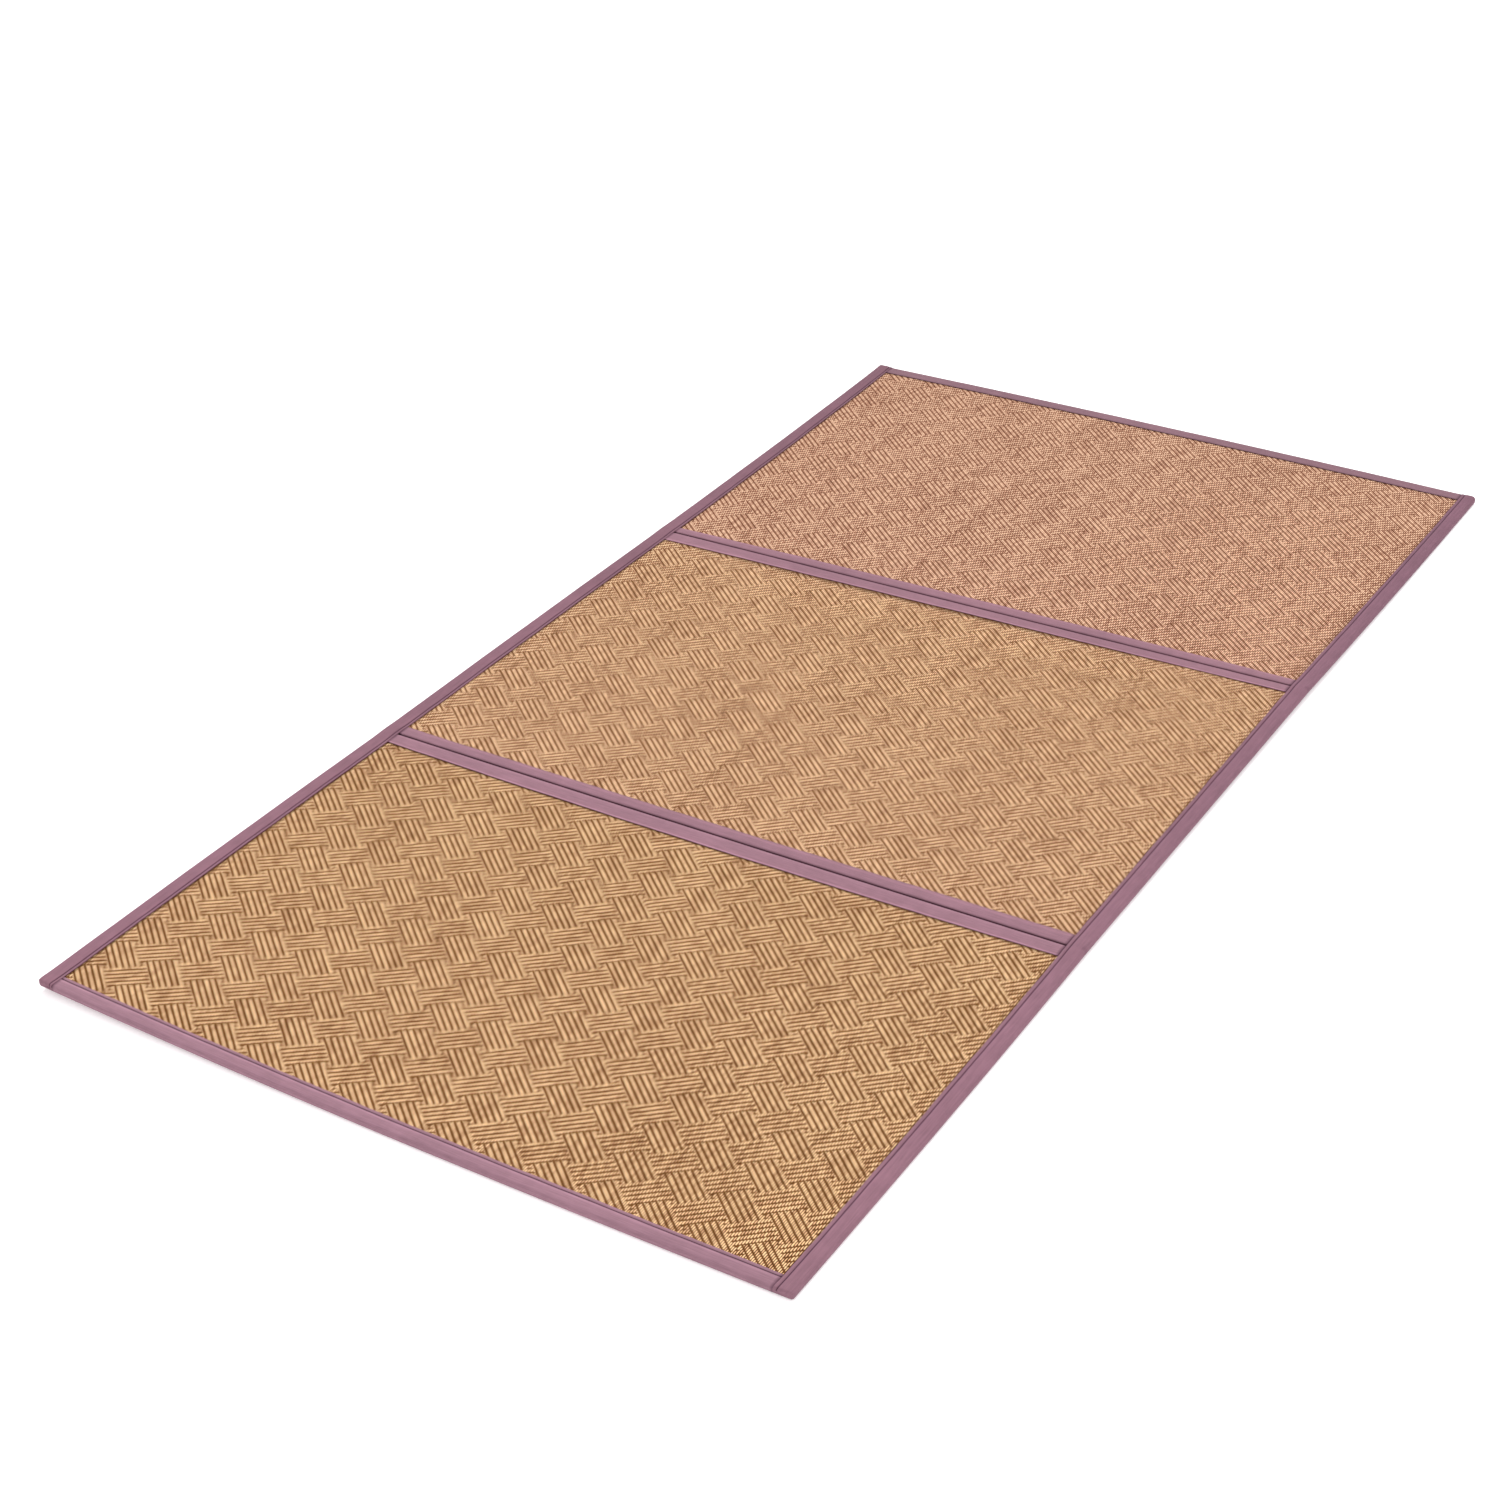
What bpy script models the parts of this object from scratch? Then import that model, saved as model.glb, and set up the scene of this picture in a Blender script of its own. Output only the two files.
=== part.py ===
# Three-panel folding tatami mat, lying open and flat.
# Metres. Origin on the floor under the middle of the mat: +X across it, +Y along it
# towards its back end, +Z up.
import math

import bmesh
import bpy

# Driving sizes
MAT_WIDTH = 1.000
MAT_LENGTH = 1.900
MAT_THICKNESS = 0.0079
BAND_WIDTH = 0.025
CLOTH = 0.0008
CLEARANCE = 0.0003
EDGE_RADIUS = 0.0030
FOLD_GAP = 0.0014
BINDING_RISE = 0.0008
RISE_REACH = 0.028
CROSS_STEP = 0.045
LENGTH_STEP = 0.053
ARC_STEPS = 3

# Radii in plan of the long bindings' ends: the front left and back right ones are rounded off
ROUND_CORNER = 0.0060
SHARP_CORNER = 0.0035

# Worked out from the driving sizes
HALF_WIDTH = MAT_WIDTH / 2
HALF_LENGTH = MAT_LENGTH / 2
PANEL_LENGTH = MAT_LENGTH / 3
FOLD_1 = -HALF_LENGTH + PANEL_LENGTH
FOLD_2 = HALF_LENGTH - PANEL_LENGTH
PANEL_LOW = CLOTH + CLEARANCE
PANEL_HIGH = MAT_THICKNESS - CLOTH - CLEARANCE
EDGE_INSET = EDGE_RADIUS + CLEARANCE
INNER_HALF_WIDTH = HALF_WIDTH - BAND_WIDTH - CLEARANCE

# How the mat lies, in mm, at its ends and folds. The heights lift it off the floor at the left
# edge, the middle and the right edge. The shifts move it in plan from a true rectangle.
#        name          place        lift l, m, r     along l, r    across l, r
LIE = (
    ("front end", -HALF_LENGTH, (7.5, 0.5, 0.5), (0.5, -0.5), (0.0, 1.5)),
    ("first fold", FOLD_1, (1.5, 0.5, 2.0), (-7.5, -1.5), (-2.0, -0.5)),
    ("second fold", FOLD_2, (0.5, 2.5, 5.0), (-5.0, 6.0), (1.5, -1.0)),
    ("back end", HALF_LENGTH, (2.5, 4.0, 0.5), (3.0, -3.0), (0.0, 0.5)),
)
# How each panel bows between them, in mm: upwards and across at its left and right edges
#        name        up l, r       across l, r
BOWS = (
    ("front", (1.0, -1.0), (-0.5, 1.5)),
    ("middle", (0.5, 0.0), (-0.5, 0.0)),
    ("back", (-1.0, -1.0), (1.0, 1.0)),
)
# How far the middles of the two ends lie ahead of their corners, in mm
FRONT_END_BOW = -4.5
BACK_END_BOW = 1.0
# The mat touches the floor wherever the lift is below this, in mm
FLOOR_CONTACT = 0.5
# What centres the mat's bounds on the origin, in mm
CENTRE_ACROSS = -0.1
CENTRE_ALONG = 0.75
MM = 0.001

# name, base colour, roughness
STRAW = ("straw", (0.66, 0.44, 0.25), 0.75)
BINDING_CLOTH = ("binding_cloth", (0.40, 0.24, 0.31), 0.85)
HINGE_CLOTH = ("hinge_cloth", (0.10, 0.02, 0.06), 0.90)


def clear_scene():
    for obj in list(bpy.data.objects):
        bpy.data.objects.remove(obj, do_unlink=True)


def mat_collection():
    collection = bpy.data.collections.new("tatami_mat")
    bpy.context.scene.collection.children.link(collection)
    return collection


def cloth_material(node, finish):
    name, colour, roughness = finish
    material = bpy.data.materials.new(f"{node}_{name}")
    material.use_nodes = True
    shader = material.node_tree.nodes["Principled BSDF"]
    shader.inputs["Base Color"].default_value = (*colour, 1.0)
    shader.inputs["Roughness"].default_value = roughness
    shader.inputs["Metallic"].default_value = 0.0
    return material


def mix(low, high, share):
    return low + (high - low) * share


def across_three(values, side):
    """The value at side, -1 at the left edge and 1 at the right, through three values."""
    left, middle, right = values
    return left * side * (side - 1) / 2 + middle * (1 - side * side) + right * side * (side + 1) / 2


def across_two(values, side):
    return mix(values[0], values[1], (side + 1) / 2)


def panel_at(y):
    """The panel that y falls in, and how far along it y is."""
    index = 0 if y < FOLD_1 else 1 if y < FOLD_2 else 2
    start = LIE[index][1]
    return index, (y - start) / PANEL_LENGTH


def lay(x, y, z):
    """Where a point of the flat, square mat is as the mat lies."""
    side = x / HALF_WIDTH
    index, share = panel_at(y)
    _, _, lift_near, along_near, across_near = LIE[index]
    _, _, lift_far, along_far, across_far = LIE[index + 1]
    _, bow_up, bow_across = BOWS[index]
    arch = 4 * share * (1 - share)
    up = mix(across_three(lift_near, side), across_three(lift_far, side), share)
    up += arch * across_two(bow_up, side)
    along = mix(across_two(along_near, side), across_two(along_far, side), share)
    if index == 0:
        along += FRONT_END_BOW * (1 - share) * (1 - side * side)
    if index == 2:
        along += BACK_END_BOW * share * (1 - side * side)
    across = mix(across_two(across_near, side), across_two(across_far, side), share)
    across += arch * across_two(bow_across, side)
    lift = max(0.0, up - FLOOR_CONTACT)
    return x + (across + CENTRE_ACROSS) * MM, y + (along + CENTRE_ALONG) * MM, z + lift * MM


def stops(low, high, step):
    """Evenly spaced places from low to high, no further apart than step."""
    count = math.ceil((high - low) / step - 1e-6)
    return [mix(low, high, i / count) for i in range(count + 1)]


def rounding(distance, radius):
    """How far a rounded edge of this radius stands back, at a distance in from its end."""
    if distance >= radius:
        return 0.0
    return radius - math.sqrt(radius**2 - (radius - distance) ** 2)


def arc(radius, low_side):
    """Points of a quarter round in (inwards, up) from the edge's corner, from top to bottom."""
    points = []
    for i in range(ARC_STEPS + 1):
        angle = math.pi / 2 * i / ARC_STEPS
        if low_side:
            points.append((radius * (1 - math.cos(angle)), radius * (1 - math.sin(angle))))
        else:
            points.append((radius * (1 - math.sin(angle)), radius * (1 - math.cos(angle))))
    return points


def channel_path(inset):
    """One side of the folded cloth in (inwards, up): the outer side, or inset by the cloth."""
    radius = EDGE_RADIUS - inset
    high = MAT_THICKNESS - inset
    top = [(s + inset, high - drop) for s, drop in arc(radius, False)]
    bottom = [(s + inset, h + inset) for s, h in arc(radius, True)]
    return [(BAND_WIDTH, high)] + top + bottom + [(BAND_WIDTH, inset)]


OUTER = channel_path(0.0)
INNER = channel_path(CLOTH)[::-1]


def lay_and_link(bm, node, finish, collection):
    """Turns flat geometry into a finished piece of the mat, lying as the mat does."""
    for vertex in bm.verts:
        vertex.co = lay(*vertex.co)
    bmesh.ops.recalc_face_normals(bm, faces=bm.faces)
    mesh = bpy.data.meshes.new(node)
    bm.to_mesh(mesh)
    bm.free()
    mesh.shade_smooth()
    mesh.set_sharp_from_angle(angle=math.radians(40))
    mesh.materials.append(cloth_material(node, finish))
    obj = bpy.data.objects.new(node, mesh)
    collection.objects.link(obj)
    return obj


def slab(x_stops, y_stops, low, high):
    """A flat slab whose top and bottom are divided at the stops."""
    bm = bmesh.new()
    bmesh.ops.create_grid(bm, x_segments=len(x_stops) - 1, y_segments=len(y_stops) - 1, size=0.5)
    for vertex in bm.verts:
        column = round((vertex.co.x + 0.5) * (len(x_stops) - 1))
        row = round((vertex.co.y + 0.5) * (len(y_stops) - 1))
        vertex.co = (x_stops[column], y_stops[row], low)
    raised = bmesh.ops.extrude_face_region(bm, geom=bm.faces[:], use_keep_orig=True)
    for item in raised["geom"]:
        if isinstance(item, bmesh.types.BMVert):
            item.co.z = high
    return bm


def strip(bm, near, far, closed):
    """Joins two rings or rows of vertices with quads."""
    last = len(near) if closed else len(near) - 1
    for i in range(last):
        j = (i + 1) % len(near)
        bm.faces.new((near[i], near[j], far[j], far[i]))


def end_binding(edge_y, inwards, x_stops):
    """Cloth folded over an edge that runs across the mat. Inwards is the sign of y from that
    edge into its panel."""
    bm = bmesh.new()
    rings = []
    for x in x_stops:
        rings.append([bm.verts.new((x, edge_y + inwards * s, h)) for s, h in OUTER + INNER])
    for near, far in zip(rings, rings[1:]):
        strip(bm, near, far, closed=True)
    bm.faces.new(rings[0])
    bm.faces.new(rings[-1])
    return bm


def binding_rise(y):
    """How far a long binding's top stands up where it passes an end or a fold."""
    nearest = min(abs(y - place) for _, place, _, _, _ in LIE)
    if nearest >= RISE_REACH:
        return 0.0
    return BINDING_RISE * (1 + math.cos(math.pi * nearest / RISE_REACH)) / 2


def long_stops():
    """Stations of a long binding: close together at its ends and folds, even between."""
    ends = [0.0, CLOTH, EDGE_RADIUS * 0.6, EDGE_RADIUS * 1.2, RISE_REACH * 0.35, RISE_REACH * 0.7]
    near_fold = [0.0, RISE_REACH * 0.35, RISE_REACH * 0.7]
    places = [-HALF_LENGTH + d for d in ends] + [HALF_LENGTH - d for d in ends]
    for fold in (FOLD_1, FOLD_2):
        places += [fold + d for d in near_fold] + [fold - d for d in near_fold[1:]]
    for _, start, _, _, _ in LIE[:-1]:
        places += stops(start + RISE_REACH, start + PANEL_LENGTH - RISE_REACH, LENGTH_STEP)
    return sorted(places)


def long_section(side, y, corner_radius, path):
    """The folded cloth's section at y, with its end rounded in plan and in height."""
    from_end = HALF_LENGTH - abs(y)
    plan = rounding(from_end, corner_radius)
    squeeze = rounding(from_end, EDGE_RADIUS)
    rise = binding_rise(y)
    section = []
    for s, h in path:
        inwards = plan + s * (BAND_WIDTH - plan) / BAND_WIDTH
        up = squeeze + h * (MAT_THICKNESS - 2 * squeeze) / MAT_THICKNESS
        lifted = up + rise * max(0.0, 2 * h / MAT_THICKNESS - 1)
        section.append((side * (HALF_WIDTH - inwards), y, lifted))
    return section


def long_binding(side, front_radius, back_radius):
    """Cloth folded over a long edge of the mat and tucked in at both ends. Side is -1 at the
    left and 1 at the right."""
    bm = bmesh.new()
    places = long_stops()
    outer, inner = [], []
    for y in places:
        radius = front_radius if y < 0 else back_radius
        outer.append([bm.verts.new(p) for p in long_section(side, y, radius, OUTER)])
        if CLOTH / 2 < HALF_LENGTH - abs(y):
            inner.append([bm.verts.new(p) for p in long_section(side, y, radius, INNER)])
    for near, far in zip(outer, outer[1:]):
        strip(bm, near, far, closed=False)
    for near, far in zip(inner, inner[1:]):
        strip(bm, near, far, closed=False)
    for near_out, far_out, near_in, far_in in zip(outer[1:-2], outer[2:-1], inner, inner[1:]):
        bm.faces.new((near_out[0], near_in[-1], far_in[-1], far_out[0]))
        bm.faces.new((near_out[-1], near_in[0], far_in[0], far_out[-1]))
    for end, wall, cavity in ((outer[0], outer[1], inner[0]), (outer[-1], outer[-2], inner[-1])):
        bm.faces.new(end)
        bm.faces.new(cavity)
        bm.faces.new((end[0], wall[0], cavity[-1], cavity[0], wall[-1], end[-1]))
    return bm


def make_panels(collection):
    x_stops = stops(-HALF_WIDTH + EDGE_INSET, HALF_WIDTH - EDGE_INSET, CROSS_STEP)
    for i, name in enumerate(("front", "middle", "back")):
        near, far = LIE[i][1], LIE[i + 1][1]
        near += EDGE_INSET + (FOLD_GAP / 2 if i > 0 else 0.0)
        far -= EDGE_INSET + (FOLD_GAP / 2 if i < 2 else 0.0)
        bm = slab(x_stops, stops(near, far, LENGTH_STEP), PANEL_LOW, PANEL_HIGH)
        lay_and_link(bm, f"panel_{name}", STRAW, collection)


def make_end_bindings(collection):
    x_stops = stops(-INNER_HALF_WIDTH, INNER_HALF_WIDTH, CROSS_STEP)
    half_gap = FOLD_GAP / 2
    edges = (
        ("binding_front_end", -HALF_LENGTH, 1),
        ("binding_fold_1_front", FOLD_1 - half_gap, -1),
        ("binding_fold_1_back", FOLD_1 + half_gap, 1),
        ("binding_fold_2_front", FOLD_2 - half_gap, -1),
        ("binding_fold_2_back", FOLD_2 + half_gap, 1),
        ("binding_back_end", HALF_LENGTH, -1),
    )
    for node, edge_y, inwards in edges:
        lay_and_link(end_binding(edge_y, inwards, x_stops), node, BINDING_CLOTH, collection)


def make_long_bindings(collection):
    left = long_binding(-1, ROUND_CORNER, SHARP_CORNER)
    right = long_binding(1, SHARP_CORNER, ROUND_CORNER)
    lay_and_link(left, "binding_left_side", BINDING_CLOTH, collection)
    lay_and_link(right, "binding_right_side", BINDING_CLOTH, collection)


def make_hinge_strips(collection):
    """The cloth that joins two panels, seen at the bottom of the gap between their bindings."""
    beside = rounding(CLOTH, EDGE_RADIUS)
    half = FOLD_GAP / 2 + beside - CLEARANCE
    x_stops = stops(-INNER_HALF_WIDTH, INNER_HALF_WIDTH, CROSS_STEP)
    for i, fold in enumerate((FOLD_1, FOLD_2), start=1):
        bm = slab(x_stops, [fold - half, fold + half], 0.0, CLOTH)
        lay_and_link(bm, f"hinge_strip_{i}", HINGE_CLOTH, collection)


def build():
    clear_scene()
    collection = mat_collection()
    make_panels(collection)
    make_end_bindings(collection)
    make_long_bindings(collection)
    make_hinge_strips(collection)


build()
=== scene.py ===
# Looks of the folding tatami mat: woven straw faces, sewn cloth bindings and their stitches.
# Metres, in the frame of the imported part: +X across the mat, +Y along it, +Z up.
import math
from collections import namedtuple

import bmesh
import bpy
import numpy as np
from mathutils import Matrix


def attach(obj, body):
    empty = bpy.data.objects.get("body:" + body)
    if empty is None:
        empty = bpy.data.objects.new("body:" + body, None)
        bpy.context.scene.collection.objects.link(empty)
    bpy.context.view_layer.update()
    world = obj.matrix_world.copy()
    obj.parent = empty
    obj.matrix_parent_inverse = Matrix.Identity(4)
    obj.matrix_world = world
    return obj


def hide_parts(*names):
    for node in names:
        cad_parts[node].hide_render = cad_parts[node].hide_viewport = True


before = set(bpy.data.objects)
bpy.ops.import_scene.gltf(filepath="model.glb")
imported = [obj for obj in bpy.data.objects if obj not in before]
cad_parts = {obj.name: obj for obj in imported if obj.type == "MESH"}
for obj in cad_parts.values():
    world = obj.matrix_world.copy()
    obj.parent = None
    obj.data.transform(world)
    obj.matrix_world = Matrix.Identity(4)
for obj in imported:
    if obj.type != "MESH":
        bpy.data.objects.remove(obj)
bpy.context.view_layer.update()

BODY = "root"
MM = 0.001

# Sizes of the mat, as in the part
MAT_WIDTH = 1.000
MAT_LENGTH = 1.900
MAT_THICKNESS = 0.0079
BAND_WIDTH = 0.025
CLOTH = 0.0008
CLEARANCE = 0.0003
EDGE_RADIUS = 0.0030
FOLD_GAP = 0.0014
BINDING_RISE = 0.0008
RISE_REACH = 0.028
ROUND_CORNER = 0.0060
SHARP_CORNER = 0.0035
HALF_WIDTH = MAT_WIDTH / 2
HALF_LENGTH = MAT_LENGTH / 2
PANEL_LENGTH = MAT_LENGTH / 3
FOLD_1 = -HALF_LENGTH + PANEL_LENGTH
FOLD_2 = HALF_LENGTH - PANEL_LENGTH
PANEL_LOW = CLOTH + CLEARANCE
PANEL_HIGH = MAT_THICKNESS - CLOTH - CLEARANCE
EDGE_INSET = EDGE_RADIUS + CLEARANCE

# How the mat lies, as in the part, in mm
#        name          place        lift l, m, r     along l, r    across l, r
LIE = (
    ("front end", -HALF_LENGTH, (7.5, 0.5, 0.5), (0.5, -0.5), (0.0, 1.5)),
    ("first fold", FOLD_1, (1.5, 0.5, 2.0), (-7.5, -1.5), (-2.0, -0.5)),
    ("second fold", FOLD_2, (0.5, 2.5, 5.0), (-5.0, 6.0), (1.5, -1.0)),
    ("back end", HALF_LENGTH, (2.5, 4.0, 0.5), (3.0, -3.0), (0.0, 0.5)),
)
#        name        up l, r       across l, r
BOWS = (
    ("front", (1.0, -1.0), (-0.5, 1.5)),
    ("middle", (0.5, 0.0), (-0.5, 0.0)),
    ("back", (-1.0, -1.0), (1.0, 1.0)),
)
FRONT_END_BOW = -4.5
BACK_END_BOW = 1.0
FLOOR_CONTACT = 0.5
CENTRE_ACROSS = -0.1
CENTRE_ALONG = 0.75

# The weave: straw columns along the mat, each strand floating over some rows and under one
COLUMN = 0.00266
ROW = 0.00226
RIB_ROWS = 4
BLOCK = 24
DOT = 4
FLOAT_SHARE = 0.74
WEAVE_RELIEF = 0.00055
RELIEF_LEVEL = 0.8
SPARE_STRANDS = 12
# How far in from a panel's sides and ends the relief starts, all of it under the bindings
WEAVE_MARGIN = 0.008
WEAVE_END_MARGINS = (0.0155, 0.008, 0.008)
# Where a dot of the weave lies on each panel, and how far the weave drifts from an even lattice
# towards the panel's right side and back end, and by their squares and product, all in mm
#        name       dot across, along   across: side, end, side2, both, end2    along: the same
WEAVES = (
    ("front", (-25.5, -602.0), (1.5, -4.5, -13.0, -2.5, -2.0), (-1.5, -3.5, 4.0, 0.5, 4.0)),
    ("middle", (-9.0, -27.0), (-3.0, -9.0, -11.5, -0.5, -2.5), (6.0, 0.5, 8.5, 2.0, 5.0)),
    ("back", (-45.5, 663.5), (2.5, 9.5, -4.5, 0.5, 5.0), (0.5, 3.0, -4.0, -1.0, -1.0)),
)

# Bindings, in mm from the outer edge: how far in the cloth reaches at one end, the middle and the
# other end, how far its edge stands back, and its swell. Seam and crest are shares of the width.
# Pale is how strong the painted highlight on the crest is, and shade how dark the painted shade on the straw
# beside the cloth is.
Band = namedtuple("Band", "widths back seam swell crest pale shade")
BANDS = {
    "binding_front_end": Band((21.5, 21.5, 21.5), 0.0, 0.79, 0.8, 0.66, 1.0, 0.0),
    "binding_fold_1_front": Band((23.5, 27.3, 23.5), 2.6, 1.0, 0.5, 0.13, 0.6, 1.0),
    "binding_fold_1_back": Band((16.3, 17.0, 19.3), -1.0, 1.0, 0.5, 0.74, 0.8, 0.2),
    "binding_fold_2_front": Band((26.5, 21.8, 18.3), 2.6, 1.0, 0.5, 0.88, 0.5, 1.0),
    "binding_fold_2_back": Band((12.0, 17.5, 13.3), -1.0, 1.0, 0.5, 0.78, 1.0, 0.3),
    "binding_back_end": Band((20.5, 20.5, 20.5), 0.0, 1.0, 0.5, 0.70, 0.1, 0.6),
    "binding_left_side": Band((23.0, 25.3, 23.5), 0.0, 0.84, 0.8, 0.73, 0.2, 0.8),
    "binding_right_side": Band((22.3, 23.0, 21.0), 0.0, 0.78, 0.7, 0.66, 0.3, 0.6),
}
# Bindings at the near and far end of each panel
PANEL_BINDINGS = (
    ("binding_front_end", "binding_fold_1_front"),
    ("binding_fold_1_back", "binding_fold_2_front"),
    ("binding_fold_2_back", "binding_back_end"),
)
SHADE_REACH = 0.0030
SEAM_DEPTH = 0.0006
SEAM_HALF_WIDTH = 0.0007
SEAM_END = 0.004
SWELL_REACH = 0.0022
OUTER_REACH = 0.0040
EDGE_LIP = 0.0004
CREST_HALF_WIDTH = 0.0018
SELVEDGE_INSET = 0.0009
SELVEDGE_HALF_WIDTH = 0.0009
SELVEDGE_PALE = 3.2
GAP_SHADE_DEPTH = 0.0010
GAP_SHADE_FADE = 0.0008
END_SHADE_REACH = 0.0015
PINCH_REACH = 0.0012
FOLD_STAND_BACK = 0.0026
FOLD_EDGE_RADIUS = 0.0014
HINGE_PLACE = -0.0018
HINGE_HALF_WIDTH = 0.0021
STITCH_PITCH = 0.0042
STITCH_LENGTH = 0.0030
THREAD_RADIUS = 0.00028
CLOTH_THREAD = 0.0009
# How much a binding's top swells and its edge wanders along its length
SWELL_ACROSS = 0.00012
SWELL_ALONG = 0.00015
WANDER_ACROSS = 0.00035
WANDER_ALONG = 0.0004

# Studio light: how much a level surface gets from all round and from the lamp behind the mat
SKY_LEVEL = 0.95
LAMP_LEVEL = 0.40
LAMP_HEIGHT = 48.0
LAMP_HEADING = 15.0
LAMP_SPREAD = 25.0
FLOOR_GLOW = 0.32
FLOOR_REACH = 30.0
FLOOR_DROP = 0.0005

# Camera, as it stood for the photo: metres, degrees and millimetres
CAMERA_PLACE = (1.5515, -2.5505, 1.8232)
CAMERA_HEADING = 33.74
CAMERA_PITCH = -32.06
CAMERA_ROLL = -2.73
CAMERA_LENS = 65.0
SENSOR = 36.0


# Lying of the mat

def mix(low, high, share):
    return low + (high - low) * share


def across_three(values, side):
    left, middle, right = values
    return left * side * (side - 1) / 2 + middle * (1 - side * side) + right * side * (side + 1) / 2


def across_two(values, side):
    return mix(values[0], values[1], (side + 1) / 2)


def lay(points):
    """Where points of the flat, square mat, an array of rows (x, y, z), are as the mat lies."""
    laid = np.array(points, dtype=float)
    x, y = laid[:, 0].copy(), laid[:, 1].copy()
    side = x / HALF_WIDTH
    panel = np.where(y < FOLD_1, 0, np.where(y < FOLD_2, 1, 2))
    for index in range(3):
        here = panel == index
        _, start, lift_near, along_near, across_near = LIE[index]
        _, _, lift_far, along_far, across_far = LIE[index + 1]
        _, bow_up, bow_across = BOWS[index]
        s, share = side[here], (y[here] - start) / PANEL_LENGTH
        arch = 4 * share * (1 - share)
        up = mix(across_three(lift_near, s), across_three(lift_far, s), share)
        up += arch * across_two(bow_up, s)
        along = mix(across_two(along_near, s), across_two(along_far, s), share)
        if index == 0:
            along += FRONT_END_BOW * (1 - share) * (1 - s * s)
        if index == 2:
            along += BACK_END_BOW * share * (1 - s * s)
        across = mix(across_two(across_near, s), across_two(across_far, s), share)
        across += arch * across_two(bow_across, s)
        laid[here, 0] += (across + CENTRE_ACROSS) * MM
        laid[here, 1] += (along + CENTRE_ALONG) * MM
        laid[here, 2] += np.maximum(0.0, up - FLOOR_CONTACT) * MM
    return laid


def stops(low, high, step):
    """Evenly spaced places from low to high, no further apart than step."""
    count = max(1, math.ceil((high - low) / step - 1e-6))
    return np.linspace(low, high, count + 1)


def rounding(distance, radius):
    """How far a rounded edge of this radius stands back, at a distance in from its end."""
    if distance >= radius:
        return 0.0
    return radius - math.sqrt(radius**2 - (radius - distance) ** 2)


# Meshes

def make_piece(name, points, faces, material):
    mesh = bpy.data.meshes.new(name)
    mesh.from_pydata([tuple(p) for p in points], [], faces)
    mesh.validate()
    mesh.shade_smooth()
    mesh.set_sharp_from_angle(angle=math.radians(50))
    mesh.materials.append(material)
    piece = bpy.data.objects.new(name, mesh)
    bpy.context.scene.collection.objects.link(piece)
    return piece


def face_outwards(piece):
    """Turns the faces of a closed piece outwards."""
    bm = bmesh.new()
    bm.from_mesh(piece.data)
    bmesh.ops.recalc_face_normals(bm, faces=bm.faces)
    bm.to_mesh(piece.data)
    bm.free()


def give_point_values(piece, name, values):
    attribute = piece.data.attributes.new(name, "FLOAT", "POINT")
    attribute.data.foreach_set("value", np.asarray(values, dtype=np.float32))


def give_map(piece, name, coordinates):
    """A UV map from one (u, v) per vertex."""
    layer = piece.data.uv_layers.new(name=name)
    corners = np.empty(len(piece.data.loops), dtype=np.int32)
    piece.data.loops.foreach_get("vertex_index", corners)
    layer.data.foreach_set("uv", np.asarray(coordinates, dtype=np.float32)[corners].ravel())


# Shader expressions

class Wire:
    """A shader socket that takes part in Python expressions."""

    def __init__(self, paint, socket):
        self.paint = paint
        self.socket = socket

    def math(self, operation, *values):
        return self.paint.node("ShaderNodeMath", {"operation": operation}, *values).wire(0)

    def __add__(self, other):
        return self.math("ADD", self, other)

    __radd__ = __add__

    def __sub__(self, other):
        return self.math("SUBTRACT", self, other)

    def __rsub__(self, other):
        return self.math("SUBTRACT", other, self)

    def __mul__(self, other):
        return self.math("MULTIPLY", self, other)

    __rmul__ = __mul__

    def __truediv__(self, other):
        return self.math("DIVIDE", self, other)

    def __mod__(self, other):
        return self.math("FLOORED_MODULO", self, other)

    def __pow__(self, other):
        return self.math("POWER", self, other)

    def __neg__(self):
        return self.math("MULTIPLY", self, -1.0)

    def __lt__(self, other):
        return self.math("LESS_THAN", self, other)

    def floor(self):
        return self.math("FLOOR", self)

    def sine(self):
        return self.math("SINE", self)

    def at_least(self, other):
        return self.math("MAXIMUM", self, other)

    def at_most(self, other):
        return self.math("MINIMUM", self, other)


class Node:
    """A shader node whose outputs come out as wires."""

    def __init__(self, paint, node):
        self.paint = paint
        self.node = node

    def wire(self, name):
        return Wire(self.paint, self.node.outputs[name])


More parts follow.
